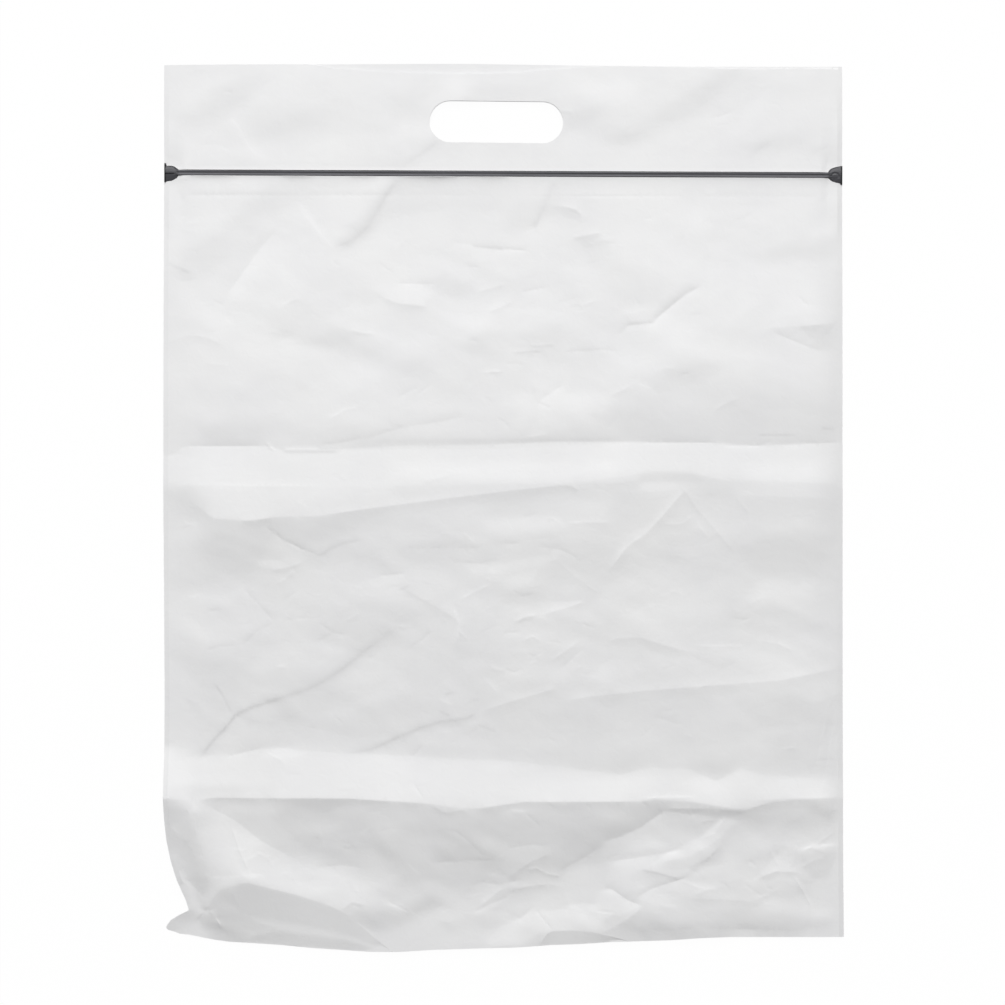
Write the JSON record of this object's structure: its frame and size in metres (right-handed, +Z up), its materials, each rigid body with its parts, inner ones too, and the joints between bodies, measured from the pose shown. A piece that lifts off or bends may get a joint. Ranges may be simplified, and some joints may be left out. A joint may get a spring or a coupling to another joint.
{
  "type": "resealable plastic bag",
  "caption": "Empty white film carrier bag lying flat, with a punched hand hole, a dark press-to-close zip across the front and a folded bottom gusset.",
  "frame": {"origin": "under the middle of the lying bag, on the surface that it lies on", "axes": "+X across the bag, to the right as the front is seen with the mouth up; +Y towards the mouth; +Z up, out of the front wall"},
  "size_m": [0.407, 0.5318, 0.0117],
  "materials": {
    "film": "white blown polyethylene film, satin, creased",
    "zip": "dark grey extruded polyethylene, satin, drawn lengthwise"
  },
  "bodies": {
    "root": {"bag_film": "film", "zip_groove_track": "zip", "zip_rib_track": "zip"}
  },
  "joints": []
}
